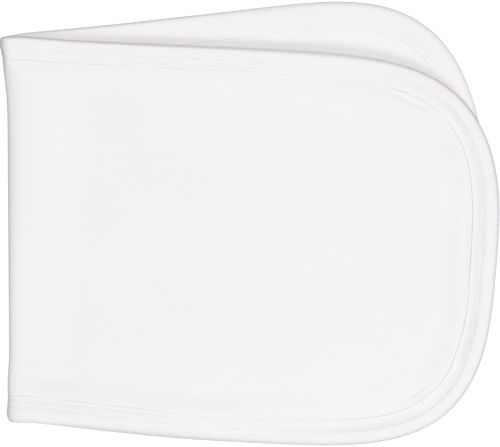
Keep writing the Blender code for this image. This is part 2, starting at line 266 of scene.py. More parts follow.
def ease(x):
    """Rises smoothly from 0 to 1 as x goes from 0 to 1: 3x^2 - 2x^3."""
    x = np.clip(x, 0.0, 1.0)
    return x * x * (3.0 - 2.0 * x)


def mound(x, middle, width):
    """A smooth mound of height 1 at middle: exp(-((x - middle) / width)^2)."""
    return np.exp(-(((x - middle) / width) ** 2))


def drift(turns, at, values):
    """A value that changes smoothly round the cloth: an ease from each place to the next, the last to the first.

    at holds the places in turns, values the value at each.
    """
    places = np.append(at, at[0] + 1.0)
    values = np.append(values, values[0])
    turns = at[0] + np.mod(turns - at[0], 1.0)
    before = np.clip(np.searchsorted(places, turns, side="right") - 1, 0, len(at) - 1)
    share = (turns - places[before]) / (places[before + 1] - places[before])
    return values[before] + (values[before + 1] - values[before]) * ease(share)


def waves(turns, counts, shares):
    """Uneven but closed ripple round the cloth: sines that fit a whole number of times, each with its own share."""
    total = np.zeros_like(turns)
    for number, (count, share) in enumerate(zip(counts, shares)):
        total = total + share * np.sin(FULL_TURN * count * turns + RIPPLE_LAG * number)
    return total


def half_width(s):
    """Half the cut width at s: a sine-squared swell from the waist, then a superellipse end."""
    along = np.abs(s)
    swell = np.sin(QUARTER_TURN * np.clip(along / WIDEST_AT, 0.0, 1.0)) ** 2
    side = WAIST_HALF_WIDTH + (WIDEST_HALF_WIDTH - WAIST_HALF_WIDTH) * swell
    share = np.clip((along - WIDEST_AT) / (HALF_LENGTH - WIDEST_AT), 0.0, 1.0)
    end = WIDEST_HALF_WIDTH * (1.0 - share**END_POWER_ALONG) ** (1.0 / END_POWER_ACROSS)
    return np.where(along < WIDEST_AT, side, end)


def quarter_outline():
    """A quarter of the flat outline, from the tip (HALF_LENGTH, 0) to the side's middle (0, WAIST_HALF_WIDTH).

    Even steps along the side, then the superellipse by an angle whose steps crowd together where the side begins.
    """
    side = np.linspace(0.0, WIDEST_AT, OUTLINE_STEPS, endpoint=False)
    angle = np.linspace(0.0, QUARTER_TURN, 2 * OUTLINE_STEPS) ** OUTLINE_CROWDS
    angle = angle / QUARTER_TURN ** (OUTLINE_CROWDS - 1.0)
    end = WIDEST_AT + (HALF_LENGTH - WIDEST_AT) * np.sin(angle) ** (2.0 / END_POWER_ALONG)
    cosine = np.maximum(np.cos(angle), 0.0)
    s = np.concatenate([side, end])
    t = np.concatenate([half_width(side), WIDEST_HALF_WIDTH * cosine ** (2.0 / END_POWER_ACROSS)])
    return np.column_stack([s, t])[::-1]


def run_lengths(points):
    """Length along a run of points, from 0 at its first."""
    return np.concatenate([[0.0], np.cumsum(np.linalg.norm(np.diff(points, axis=0), axis=1))])


QUARTER = quarter_outline()
QUARTER_LENGTH = run_lengths(QUARTER)
PERIMETER = 4.0 * QUARTER_LENGTH[-1]


def whole_outline():
    """The flat outline as a closed run of points, anticlockwise from the tip: the quarter mirrored into four."""
    upper = np.concatenate([QUARTER, QUARTER[-2::-1] * (-1.0, 1.0)])
    return np.concatenate([upper, upper[1:] * -1.0])


def nearest_edge(s, t):
    """How far (s, t) lies inside the outline, below 0 outside, and how far round it the nearest edge is, in turns.

    The least distance to the outline's short sides. The outline is its own mirror image both ways, so a quarter of it
    does for every point.
    """
    a, b = np.abs(s), np.abs(t)
    best = np.full(np.shape(s), np.inf)
    along = np.zeros(np.shape(s))
    sides = np.diff(QUARTER, axis=0)
    for start, side, length in zip(QUARTER, sides, QUARTER_LENGTH):
        square = side @ side
        share = np.clip(((a - start[0]) * side[0] + (b - start[1]) * side[1]) / square, 0.0, 1.0)
        gap = (a - start[0] - share * side[0]) ** 2 + (b - start[1] - share * side[1]) ** 2
        along = np.where(gap < best, length + share * math.sqrt(square), along)
        best = np.minimum(gap, best)
    outside = (a > HALF_LENGTH) | (b > half_width(s))
    quarter = along / PERIMETER
    upper = np.where(s > 0.0, quarter, 0.5 - quarter)
    turns = np.where(t > 0.0, upper, 1.0 - upper)
    return np.where(outside, -1.0, 1.0) * np.sqrt(best), turns


def bend(half, from_fold):
    """Sideways curve of one half: the sum of three powers of its share of the length."""
    row = BEND["half"].index(half)
    share = from_fold / HALF_LENGTH
    return BEND["square"][row] * share**2 + BEND["cube"][row] * share**3 + BEND["fourth"][row] * share**4


def near_binding(inside):
    """1 within the binding, easing to 0 where the panel has sagged to its own level."""
    return 1.0 - ease((inside - BINDING_WIDTH - LIP) / PANEL_SAGS_OVER)


def fold_reach(along_fold):
    """How far the fold's middle surface stands out: further through the binding at each end than in the panel."""
    from_end = WAIST_HALF_WIDTH / COS_FOLD - np.abs(along_fold)
    share = 1.0 - ease((from_end - BINDING_WIDTH) / REACH_CHANGE)
    return FOLD_REACH_PANEL + (FOLD_REACH_BINDING - FOLD_REACH_PANEL) * share


def roll_size(along_fold):
    """Half the height of the fold's roll and how far it stands out, the half axes of its ellipse.

    Both grow evenly from the low corner to the top one, the reach more, and the roll is tight again in the top binding.
    """
    share = ease(0.5 + 0.5 * along_fold / WAIST_HALF_WIDTH)
    half_height = ROLL_HALF_HEIGHT["low"] + (ROLL_HALF_HEIGHT["top"] - ROLL_HALF_HEIGHT["low"]) * share
    flatness = ROLL_FLATNESS["low"] + (ROLL_FLATNESS["top"] - ROLL_FLATNESS["low"]) * share
    tight = ease((along_fold - ROLL_TIGHTENS["from"]) / ROLL_TIGHTENS["over"])
    flatness = flatness + (ROLL_FLATNESS["top_binding"] - flatness) * tight
    return half_height, half_height * flatness


def corner_shift(along_fold, column):
    """How far the fold strays from straight at its two corners: each row's shift, easing to 0 at its reach."""
    end = WAIST_HALF_WIDTH / COS_FOLD
    from_end = {"upper": end - along_fold, "lower": end + along_fold}
    shift = np.zeros_like(along_fold)
    for at, reach, most in zip(CORNER["at"], CORNER["reach"], CORNER[column]):
        shift = shift + most * (1.0 - ease(from_end[at] / reach))
    return shift


def support_height(from_fold, along_fold):
    """Height of what lies under a point of the upper half: the lower half's binding or panel, or the surface.

    The point beneath is the mirror image in the fold line, moved by the difference of the two halves' bends.
    The height is held past both edges of the lower binding and drops beyond them with an ease.
    """
    across = along_fold - bend("upper", from_fold) + bend("lower", from_fold)
    s = -from_fold * COS_FOLD - across * SIN_FOLD - FOLD_OFF_MIDDLE
    t = -from_fold * SIN_FOLD + across * COS_FOLD
    inside, _ = nearest_edge(s, t)
    dropped_out = ease((-inside - CLEAR_OF_EDGE) / DROP_OUTSIDE)
    dropped_in = ease((inside - BINDING_WIDTH - CLEAR_OF_EDGE) / DROP_INSIDE)
    on_binding = (1.0 - dropped_out) * (1.0 - dropped_in)
    height = 2.0 * BINDING_HALF_HEIGHT * on_binding + PANEL_THICKNESS * dropped_in
    return height, on_binding


def relief_height(x, y):
    """Sum of the dents and swells: each is its rise times exp(-(along/length)^2 - (across/width)^2)."""
    total = np.zeros_like(x)
    for row in range(len(RELIEF["name"])):
        turn = math.radians(RELIEF["turn"][row])
        dx = x - RELIEF["x"][row]
        dy = y - RELIEF["y"][row]
        along = (dx * math.cos(turn) + dy * math.sin(turn)) / RELIEF["length"][row]
        across = (dy * math.cos(turn) - dx * math.sin(turn)) / RELIEF["width"][row]
        total = total + RELIEF["rise"][row] * np.exp(-(along**2) - across**2)
    return total


def middle_of_cloth(s, t):
    """The folded place of flat points (s, t), half-way through the cloth's thickness.

    d is the distance from the fold line and m the distance along it. Within a quarter turn of the roll either way the
    point lies on an ellipse. Past it, the distance from the roll is |d| less the length of a quarter of the ellipse.
    The lower half lies at its own half thickness. The upper half adds the height of what is under it and an easing
    from the roll's height, and its middle keeps a little loft. Near its edge it droops by a height that is listed
    round the cloth times (1 - inside / reach)^2.
    """
    from_fold_middle = s + FOLD_OFF_MIDDLE
    d = from_fold_middle * COS_FOLD + t * SIN_FOLD
    m = -from_fold_middle * SIN_FOLD + t * COS_FOLD
    from_fold = np.abs(d)
    inside, turns = nearest_edge(s, t)
    bound = near_binding(inside)
    half_height, reach = roll_size(m)
    quarter = QUARTER_TURN * np.sqrt((half_height**2 + reach**2) / 2.0)
    turned = QUARTER_TURN * np.clip(d / quarter, -1.0, 1.0)
    run = np.maximum(from_fold - quarter, 0.0)

    away = ease(from_fold / CORNER_FADES_OVER)
    out = run - reach * np.cos(turned)
    out = out + (quarter - QUARTER_TURN * FOLD_REACH_PANEL) * away
    out = out + (reach - fold_reach(m) + corner_shift(m, "shift")) * (1.0 - away)
    across = m - np.where(d > 0.0, bend("upper", from_fold), bend("lower", from_fold))
    across = across + corner_shift(m, "slide") * (1.0 - ease(from_fold / SLIDE_FADES_OVER))
    free = mound(d, SPREAD["at"], SPREAD["width"]) * ease(d / SPREAD["from_fold"])
    across = across + SPREAD["most"] * free * ease(m / WAIST_HALF_WIDTH)

    under, on_binding = support_height(from_fold, m)
    loft = LOFT * ease((inside - LOFT_FROM) / LOFT_OVER) * (1.0 - on_binding)
    lying = under + BETWEEN_LAYERS + loft
    settled = ease(run / ROLL_SETTLES_OVER)
    rolled = half_height * (1.0 + np.sin(turned))
    lift = np.where(d > 0.0, lying * settled + rolled * (1.0 - settled), rolled)
    x = out * math.cos(FOLD_TURN) - across * math.sin(FOLD_TURN)
    y = out * math.sin(FOLD_TURN) + across * math.cos(FOLD_TURN)
    clear = ease((inside - BINDING_WIDTH) / RELIEF_GROWS_OVER)
    near_edge = np.clip(1.0 - inside / drift(turns, DROOP["turns"], DROOP["reach"]), 0.0, 1.0) ** 2
    droop = near_edge * drift(turns, DROOP["turns"], DROOP["most"])
    relief = np.where(d > 0.0, (relief_height(x, y) * clear - droop) * settled, 0.0)
    height = PANEL_THICKNESS / 2 + bound * (BINDING_HALF_HEIGHT - PANEL_THICKNESS / 2) + lift + relief
    return np.stack([x + PLACE_X, y + PLACE_Y, height], axis=-1)


def middle_and_normal(s, t):
    """The folded place of (s, t) and the unit normal there, which points out of the cloth's outer face."""
    along = middle_of_cloth(s + NORMAL_STEP, t) - middle_of_cloth(s - NORMAL_STEP, t)
    across = middle_of_cloth(s, t + NORMAL_STEP) - middle_of_cloth(s, t - NORMAL_STEP)
    normal = np.cross(along, across)
    return middle_of_cloth(s, t), normal / np.linalg.norm(normal, axis=-1, keepdims=True)


def even_stations(length, spacing):
    """Places along a run whose spacing varies: equal steps of the integral of 1 / spacing."""
    middle = 0.5 * (spacing[1:] + spacing[:-1])
    count = np.concatenate([[0.0], np.cumsum(np.diff(length) / middle)])
    return np.interp(np.linspace(0.0, count[-1], int(round(count[-1])) + 1), count, length)


def panel_rows(half, reach):
    """Distances of one half's rows from the fold line, the last just short of the panel's tip."""
    fine = np.linspace(0.0, reach - PANEL_INSET - LAST_ROW_SHORT_OF_TIP, FINE_STEPS)
    return even_stations(fine, np.interp(fine, ROW_SPACING["from_fold"], ROW_SPACING[half]))


def panel_grid():
    """Flat (s, t) of the panel's rows and columns: rows follow the fold line near it and turn square away from it."""
    upper = np.array(whole_outline()[: 2 * len(QUARTER) - 1])
    tangent = np.gradient(upper, axis=0)
    tangent = tangent / np.linalg.norm(tangent, axis=1, keepdims=True)
    upper = upper + PANEL_INSET * np.column_stack([-tangent[:, 1], tangent[:, 0]])
    upper = upper[np.argsort(upper[:, 0])]
    below = panel_rows("lower", HALF_LENGTH - FOLD_OFF_MIDDLE)
    above = panel_rows("upper", HALF_LENGTH + FOLD_OFF_MIDDLE)
    row = np.concatenate([-below[:0:-1], above])[:, None]
    share = np.linspace(-1.0, 1.0, PANEL_COLUMNS)
    column = (0.5 * share + 0.5 * np.sin(QUARTER_TURN * share))[None, :]
    slant = math.tan(HALF_FOLD_ANGLE) * (1.0 - ease(2.0 * np.abs(row) / HALF_LENGTH))
    t = column * np.interp(row, upper[:, 0], upper[:, 1])
    for _ in range(SLANT_ROUNDS):
        s = row - t * slant - FOLD_OFF_MIDDLE
        t = column * np.interp(s, upper[:, 0], upper[:, 1])
    return s, t


def grid_faces(rows, columns, wrap_rows=False, wrap_columns=False):
    """Four-sided faces between neighbouring rows and columns, joining the last to the first where a wrap is set."""
    row = np.arange(rows if wrap_rows else rows - 1)[:, None]
    column = np.arange(columns if wrap_columns else columns - 1)[None, :]
    after, beside = (row + 1) % rows, (column + 1) % columns
    corners = (row * columns + column, after * columns + column, after * columns + beside, row * columns + beside)
    return np.stack(np.broadcast_arrays(*corners), axis=-1).reshape(-1, 4)


def facing_out(points, faces):
    """The faces turned round if the volume inside them comes out below 0: a sum of corner triple products."""
    a, b, c, d = (points[faces[:, i]] for i in range(4))
    volume = (np.cross(a, b) * c).sum() + (np.cross(a, c) * d).sum()
    return faces if volume > 0.0 else faces[:, ::-1]


def add_piece(name, points, faces, flat, material, node=None):
    """A mesh piece of the cloth with the flat place of every corner in a UV map, riding on the cloth's one body."""
    points = points.reshape(-1, 3)
    flat = np.asarray(flat).reshape(-1, 2)
    faces = facing_out(points, faces)
    mesh = bpy.data.meshes.new(name)
    mesh.vertices.add(len(points))
    mesh.vertices.foreach_set("co", points.astype(np.float32).ravel())
    mesh.loops.add(faces.size)
    mesh.loops.foreach_set("vertex_index", faces.astype(np.int32).ravel())
    mesh.polygons.add(len(faces))
    mesh.polygons.foreach_set("loop_start", np.arange(0, faces.size, 4, dtype=np.int32))
    mesh.polygons.foreach_set("use_smooth", np.ones(len(faces), dtype=bool))
    layer = mesh.uv_layers.new(name="flat")
    corners = flat[faces]
    corners[..., 0] = corners[..., 0] - np.round((corners[..., 0] - corners[:, :1, 0]) / PERIMETER) * PERIMETER
    layer.uv.foreach_set("vector", corners.astype(np.float32).ravel())
    mesh.update(calc_edges=True)
    mesh.validate()
    mesh.materials.append(material)
    piece = bpy.data.objects.new(name, mesh)
    bpy.context.scene.collection.objects.link(piece)
    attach(piece, "root")
    if node:
        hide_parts(node)
    return piece


def add_node(tree, kind, inputs=None, **settings):
    """Adds one node with its settings, its inputs filled with values or with other nodes' outputs."""
    node = tree.nodes.new(kind)
    for name, value in settings.items():
        setattr(node, name, value)
    for key, value in (inputs or {}).items():
        if isinstance(value, bpy.types.NodeSocket):
            tree.links.new(value, node.inputs[key])
        else:
            node.inputs[key].default_value = value
    return node


def knit_material(name, colour, wale, course, depth, sheen):
    """Cotton knit in fine columns of V-shaped loops.

    Matt white staple cotton, circular knitted and brushed a little by washing: it gives the eye an even, dry white with
    ribs that only a close look finds. The height of a loop is a round rib across its wale, cut by a sine along
    the wale whose phase lags away from the rib's middle, which draws the V. The colour carries a painted shade, a
    little darker in the valleys between the ribs and a little lighter on their crests, and its tone changes at random
    in patches.
    """
    material = bpy.data.materials.new(name)
    material.use_nodes = True
    tree = material.node_tree
    shader = tree.nodes["Principled BSDF"]
    shader.inputs["Roughness"].default_value = KNIT["roughness"]
    shader.inputs["IOR"].default_value = KNIT["ior"]
    shader.inputs["Specular IOR Level"].default_value = KNIT["specular"]
    shader.inputs["Sheen Weight"].default_value = sheen
    shader.inputs["Sheen Roughness"].default_value = KNIT["sheen_roughness"]
    place = add_node(tree, "ShaderNodeUVMap", uv_map="flat").outputs["UV"]
    split = add_node(tree, "ShaderNodeSeparateXYZ", {0: place}).outputs

    wales = add_node(tree, "ShaderNodeMath", {0: split["Y"], 1: wale}, operation="DIVIDE").outputs[0]
    across = add_node(tree, "ShaderNodeMath", {0: wales, 1: 0.5}, operation="PINGPONG").outputs[0]
    half_turn = add_node(tree, "ShaderNodeMath", {0: across, 1: math.pi}, operation="MULTIPLY").outputs[0]
    rib = add_node(tree, "ShaderNodeMath", {0: half_turn}, operation="SINE").outputs[0]
    courses = add_node(tree, "ShaderNodeMath", {0: split["X"], 1: course}, operation="DIVIDE").outputs[0]
    lag = add_node(tree, "ShaderNodeMath", {0: courses, 1: across}, operation="ADD").outputs[0]
    turn = add_node(tree, "ShaderNodeMath", {0: lag, 1: FULL_TURN}, operation="MULTIPLY").outputs[0]
    loop = add_node(tree, "ShaderNodeMath", {0: turn}, operation="SINE").outputs[0]
    fuzz_scale = 1 / (KNIT["fuzz_in_wales"] * wale)
    fuzz = add_node(tree, "ShaderNodeTexNoise", {"Vector": place, "Scale": fuzz_scale, "Detail": 3.0}).outputs[0]
    body = add_node(tree, "ShaderNodeMath", {0: fuzz, 1: KNIT["fuzz"], 2: rib}, operation="MULTIPLY_ADD").outputs[0]
    height = add_node(tree, "ShaderNodeMath", {0: loop, 1: KNIT["v_cut"], 2: body}, operation="MULTIPLY_ADD").outputs[0]
    bump = add_node(tree, "ShaderNodeBump", {"Height": height, "Strength": 1.0, "Distance": depth})
    tree.links.new(bump.outputs["Normal"], shader.inputs["Normal"])

    patches = add_node(tree, "ShaderNodeTexNoise", {"Vector": place, "Scale": KNIT["patch_scale"], "Detail": 2.0})
    # Painted shade: the colour is darker in the valleys between the ribs, where shade falls, and lighter on their
    # crests
    painted_valley_shade = {0: rib, 1: KNIT["painted_rib_shade"], 2: 1.0 - KNIT["patch_shade"]}
    painted_rib_shade = add_node(tree, "ShaderNodeMath", painted_valley_shade, operation="MULTIPLY_ADD").outputs[0]
    patch = {0: patches.outputs[0], 1: KNIT["patch_shade"], 2: painted_rib_shade}
    shade = add_node(tree, "ShaderNodeMath", patch, operation="MULTIPLY_ADD").outputs[0]
    tinted = add_node(tree, "ShaderNodeVectorMath", {0: colour, 1: shade}, operation="MULTIPLY")
    tree.links.new(tinted.outputs["Vector"], shader.inputs["Base Color"])
    return material


def thread_material(name, colour):
    """Spun polyester sewing thread: two plies twisted together, a little glossier and whiter than the knit."""
    material = bpy.data.materials.new(name)
    material.use_nodes = True
    tree = material.node_tree
    shader = tree.nodes["Principled BSDF"]
    shader.inputs["Roughness"].default_value = THREAD["roughness"]
    shader.inputs["IOR"].default_value = THREAD["ior"]
    place = add_node(tree, "ShaderNodeUVMap", uv_map="flat").outputs["UV"]
    split = add_node(tree, "ShaderNodeSeparateXYZ", {0: place}).outputs

    twists = add_node(tree, "ShaderNodeMath", {0: split["X"], 1: THREAD["twist"]}, operation="DIVIDE").outputs[0]
    round_it = add_node(tree, "ShaderNodeMath", {0: twists, 1: split["Y"]}, operation="ADD").outputs[0]
    turn = add_node(tree, "ShaderNodeMath", {0: round_it, 1: FULL_TURN}, operation="MULTIPLY").outputs[0]
    wave = add_node(tree, "ShaderNodeMath", {0: turn}, operation="SINE").outputs[0]
    ply = add_node(tree, "ShaderNodeMath", {0: wave}, operation="ABSOLUTE").outputs[0]
    bumps = {"Height": ply, "Strength": THREAD["ply_bump"], "Distance": THREAD["ply_depth"]}
    bump = add_node(tree, "ShaderNodeBump", bumps)
    tree.links.new(bump.outputs["Normal"], shader.inputs["Normal"])
    # Painted shade: the thread's colour is darker in the grooves between the plies, where shade falls
    painted_valley_shade = {0: ply, 1: THREAD["painted_ply_shade"], 2: 1.0 - THREAD["painted_ply_shade"]}
    shade = add_node(tree, "ShaderNodeMath", painted_valley_shade, operation="MULTIPLY_ADD").outputs[0]
    tinted = add_node(tree, "ShaderNodeVectorMath", {0: colour, 1: shade}, operation="MULTIPLY")
    tree.links.new(tinted.outputs["Vector"], shader.inputs["Base Color"])
    return material


def outer_width(turns):
    """Width of the binding on the cloth's outer face: the measured widths and a slow ripple."""
    return drift(turns, WIDTH["turns"], WIDTH["outer"]) + waves(turns, *RIPPLE["outer_width"])


def inner_width(turns):
    """Width of the binding on the cloth's inner face, a little wider so that the needles catch it."""
    width = drift(turns, INNER_WIDTH["turns"], INNER_WIDTH["width"])
    return width + waves(turns, *RIPPLE["inner_width"])


def row_pull(turns):
    """How hard the outer row of stitches pulls the binding in: hardly on the sides, most of all on the curves."""
    share = drift(turns, PULL["turns"], PULL["share"])
    return share + waves(turns, *RIPPLE["pull"]) * share


def inner_edge_height(turns, settings):
    """Height of the sewn inner edge off the cloth's middle: pressed flat on the sides and proud round the curves."""
    share = drift(turns, LIP_STEP["turns"], LIP_STEP["share"]) + waves(turns, *RIPPLE["inner_edge"])
    return LIP_OVER_PANEL + settings.lip_flat + settings.lip_step * np.clip(share, 0.0, 1.0)


def face_height(from_inner, lip, pull, press, settings):
    """Height of one face of the binding off the cloth's middle, at each distance from its inner edge.

    Where nothing pulls, the face rises evenly from the inner edge's height to the edge bead's. Where the outer row of
    stitches pulls, it stays low nearly as far as that row and then rises to a fuller bead. A soft puff lies between
    the rows, and each row presses in a narrow furrow. No place goes lower than just clear of the panel.
    """
    inner_row = settings.row_from_inner_edge
    outer_row = inner_row + settings.rows_apart
    even = ease((from_inner - EVEN_RISE["from"]) / EVEN_RISE["over"])
    late = ease((from_inner - LATE_RISE["from"]) / LATE_RISE["over"])
    bead = settings.bead_height + settings.bead_puff * pull
    height = lip + (bead - lip) * (even + (late - even) * pull)
    between_rows = mound(from_inner, (inner_row + outer_row) / 2, PUFF_BETWEEN_ROWS["width"])
    height = height + PUFF_BETWEEN_ROWS["rise"] * between_rows
    height = height - press * (mound(from_inner, outer_row, FURROW_WIDTH) + mound(from_inner, inner_row, FURROW_WIDTH))
    return np.maximum(height, np.minimum(lip, CLEAR_OF_PANEL))


def section_places(face_points):
    """Distances from the inner edge of one face's points: closer round the outer edge, over the rows and at the lip."""
    lip = LIP_ROUND * np.sin(QUARTER_TURN * np.arange(LIP_POINTS, -1, -1) / LIP_POINTS)
    return np.concatenate([EDGE_POINTS, face_points, lip])


def face_profile(from_inner, turns, pull, press, settings):
    """One face's height at its section points.

    The outer edge is a tight quarter ellipse and a wide parabola that share the bead's height, as each place round the
    cloth was pressed; the lip is a quarter ellipse down to the panel.
    """
    lip = inner_edge_height(turns, settings)[:, None]
    height = face_height(from_inner[None, :], lip, pull[:, None], press[:, None], settings)
    from_edge = BINDING_WIDTH - from_inner
    tight = np.sqrt(1.0 - np.clip(1.0 - from_edge / EDGE_TIGHT, 0.0, 1.0) ** 2)
    wide_reach = drift(turns, EDGE_ROUND["turns"], EDGE_ROUND["wide"])[:, None]
    tight_share = drift(turns, EDGE_ROUND["turns"], EDGE_ROUND["tight_share"])[:, None]
    wide = 1.0 - np.clip(1.0 - from_edge / wide_reach, 0.0, 1.0) ** 2
    into_lip = np.clip(1.0 - from_inner / LIP_ROUND, 0.0, 1.0)
    fall = np.sqrt(1.0 - into_lip**2)
    rounded = height * (tight_share * tight + (1.0 - tight_share) * wide)
    return np.where(into_lip > 0.0, LIP_OVER_PANEL + (height - LIP_OVER_PANEL) * fall, rounded)


def even_turns(count):
    """Turns of a whole number of even places round the cloth, from 0 on: place / count."""
    return np.arange(count) / count


def stitches_round(settings):
    """The whole number of stitches round the cloth: the outline's length over the stitch length, rounded."""
    return int(round(PERIMETER / settings.stitch_length))


def flat_place(turns, from_edge):
    """Flat (s, t) at turns round the outline and distances in from its edge, by the outline's own normals."""
    outline = whole_outline()
    at = run_lengths(outline) / PERIMETER
    step = TANGENT_STEP / PERIMETER

    def on_outline(turn):
        wrapped = np.mod(turn, 1.0)
        return np.stack([np.interp(wrapped, at, outline[:, 0]), np.interp(wrapped, at, outline[:, 1])], axis=-1)

    tangent = on_outline(turns + step) - on_outline(turns - step)
    tangent = tangent / np.linalg.norm(tangent, axis=-1, keepdims=True)
    inward = np.stack([-tangent[..., 1], tangent[..., 0]], axis=-1)
    place = on_outline(turns) + inward * np.asarray(from_edge)[..., None]
    return place[..., 0], place[..., 1]


class ClothSettings(bpy.types.PropertyGroup):
    """Knit of the panel."""

    colour: bpy.props.FloatVectorProperty(
        name="Panel colour", description="Colour of the panel's knit", subtype="COLOR", size=3, min=0.0, max=1.0,
        default=linear("#EDEDED"))
    wale: bpy.props.FloatProperty(
        name="Rib spacing", description="Distance between the knit's ribs", default=0.0009, min=0.0003, unit="LENGTH")
    course: bpy.props.FloatProperty(
        name="Loop length", description="Length of one loop of the knit", default=0.0008, min=0.0003, unit="LENGTH")
    loop_depth: bpy.props.FloatProperty(
        name="Rib height", description="Height of the knit's ribs", default=0.00004, min=0.0, unit="LENGTH")


class BindingSettings(bpy.types.PropertyGroup):
    """Strip folded over the panel's edge."""

    colour: bpy.props.FloatVectorProperty(
        name="Binding colour", description="Colour of the binding's knit", subtype="COLOR", size=3, min=0.0, max=1.0,
        default=linear("#EFECED"))
    bead_height: bpy.props.FloatProperty(
        name="Bead height", description="Height of the padded edge off the cloth's middle", default=0.00188,
        min=0.001, max=0.003, unit="LENGTH")
    lip_flat: bpy.props.FloatProperty(
        name="Inner edge, pressed", description="How far the sewn inner edge stands up where it is pressed flat",
        default=0.00009, min=0.0, max=0.001, unit="LENGTH")
    lip_step: bpy.props.FloatProperty(
        name="Inner edge, proud", description="How much further the sewn inner edge stands up round the curves",
        default=0.00030, min=0.0, max=0.001, unit="LENGTH")
    bead_puff: bpy.props.FloatProperty(
        name="Bead puff", description="How much fuller the padded edge is where the outer row of stitches pulls",
        default=0.0009, min=0.0, max=0.0015, unit="LENGTH")
    stitch_length: bpy.props.FloatProperty(
        name="Stitch length", description="Distance between needle holes", default=0.0028, min=0.0015,
        unit="LENGTH")
    rows_apart: bpy.props.FloatProperty(
        name="Rows apart", description="Distance between the two rows of stitches", default=0.0037, min=0.002,
        unit="LENGTH")
    row_from_inner_edge: bpy.props.FloatProperty(
        name="Row from inner edge", description="How far the inner row lies from the binding's inner edge",
        default=0.00185, min=0.0008, unit="LENGTH")


class StitchSettings(bpy.types.PropertyGroup):
    """Sewing thread."""

    colour: bpy.props.FloatVectorProperty(
        name="Thread colour", description="Colour of the sewing thread", subtype="COLOR", size=3, min=0.0, max=1.0,
        default=linear("#F0EEEF"))
    needle_thread: bpy.props.FloatProperty(
        name="Needle thread", description="Diameter of the thread on the outer face", default=0.00024, min=0.0001,
        unit="LENGTH")
    looper_thread: bpy.props.FloatProperty(
        name="Looper thread", description="Diameter of the thread on the inner face", default=0.00015, min=0.0001,
        unit="LENGTH")


class StageSettings(bpy.types.PropertyGroup):
    """Floor, lights and camera."""

    floor_colour: bpy.props.FloatVectorProperty(
        name="Floor colour", description="Colour of the studio floor", subtype="COLOR", size=3, min=0.0, max=1.0,
        default=linear("#F6F6F6"))
    floor_glow: bpy.props.FloatProperty(
        name="Floor glow", description="Light that the floor gives off itself, as a lit table does", default=0.30,
        min=0.0)
    key_power: bpy.props.FloatProperty(
        name="Overhead power", description="Power of the softbox overhead", default=26.3, min=0.0, unit="POWER")
    front_power: bpy.props.FloatProperty(
        name="Front power", description="Power of the softbox at the low right of the view", default=13.5, min=0.0,
        unit="POWER")
    back_power: bpy.props.FloatProperty(
        name="Back power", description="Power of the softbox at the top edge of the view", default=5.0, min=0.0,
        unit="POWER")
    fill: bpy.props.FloatProperty(
        name="Room light", description="Strength of the light from all round", default=0.25, min=0.0)
    view_width: bpy.props.FloatProperty(
        name="View width", description="Width of the floor that the camera takes in", default=0.260, min=0.05,
        unit="LENGTH")
    lens: bpy.props.FloatProperty(
        name="Lens", description="Focal length of the camera in millimetres", default=250.0, min=20.0)


class BURPCLOTH_OT_panel(bpy.types.Operator):
    """Lays out the panel, folded in half, and gives it its knit"""

    bl_idname = "burpcloth.panel"
    bl_label = "Knit panel"

    def execute(self, context):
        cloth = context.scene.burpcloth_cloth
        s, t = panel_grid()
        middle, normal = middle_and_normal(s, t)
        on_one_face = s.size
        rows, columns = s.shape
        points = np.stack([middle + normal * PANEL_THICKNESS / 2, middle - normal * PANEL_THICKNESS / 2])
        outer = grid_faces(rows, columns)
        ring = np.concatenate([
            np.arange(columns - 1),
            np.arange(rows - 1) * columns + columns - 1,
            on_one_face - 1 - np.arange(columns - 1),
            np.arange(rows - 1, 0, -1) * columns,
        ])
        after = np.roll(ring, -1)
        rim = np.column_stack([ring, after, after + on_one_face, ring + on_one_face])
        faces = np.concatenate([outer, outer[:, ::-1] + on_one_face, rim])
        flat = np.stack([np.stack([s, t], axis=-1)] * 2)
        material = knit_material("white_cotton_interlock", tuple(cloth.colour), cloth.wale, cloth.course,
                                 cloth.loop_depth, sheen=KNIT["panel_sheen"])
        panel = add_piece("knit_panel", points, faces, flat, material, "panel")
        return {"FINISHED"}


class BURPCLOTH_OT_binding(bpy.types.Operator):
    """Folds the binding over the panel's edge all round"""

    bl_idname = "burpcloth.binding"
    bl_label = "Edge binding"

    def execute(self, context):
        cloth, settings = context.scene.burpcloth_cloth, context.scene.burpcloth_binding
        stitches = stitches_round(settings)
        turns = even_turns(stitches * STEPS_PER_STITCH)
        at_needle = 0.5 + 0.5 * np.cos(FULL_TURN * stitches * turns)
        depths, offs = [], []
        for face_points, width, pull in ((OUTER_POINTS, outer_width(turns), row_pull(turns)),
                                         (INNER_POINTS, inner_width(turns), np.zeros_like(turns))):
            from_inner = section_places(face_points)
            press = PRESS["least"] + PRESS["more_at_needle"] * at_needle + PRESS["more_where_pulled"] * pull
            depths.append(width[:, None] * (1.0 - from_inner / BINDING_WIDTH))
            offs.append(face_profile(from_inner, turns, pull, press, settings))
        zero = np.zeros((len(turns), 1))
        hollow_depth, hollow_off = (zero + np.array(HOLLOW[key]) for key in ("from_edge", "off_the_middle"))
        lip = zero + LIP_OVER_PANEL
        depth = np.concatenate([zero, depths[0], depths[0][:, -1:] - LIP_FOLD, hollow_depth, hollow_depth[:, :1],
                                depths[1][:, -1:] - LIP_FOLD, depths[1][:, ::-1]], axis=1)
        off = np.concatenate([zero, offs[0], lip, hollow_off, -hollow_off[:, :1], -lip, -offs[1][:, ::-1]], axis=1)
        s, t = flat_place(np.broadcast_to(turns[:, None], depth.shape), depth)
        middle, normal = middle_and_normal(s, t)
        points = middle + normal * off[..., None]
        faces = grid_faces(*depth.shape, wrap_rows=True, wrap_columns=True)
        around = np.broadcast_to((turns * PERIMETER)[:, None], depth.shape)
        flat = np.stack([around, depth], axis=-1)
        material = knit_material("white_cotton_rib_binding", tuple(settings.colour), cloth.course, cloth.wale,
                                 cloth.loop_depth, sheen=KNIT["binding_sheen"])
        add_piece("edge_binding", points, faces, flat, material, "binding")
        return {"FINISHED"}


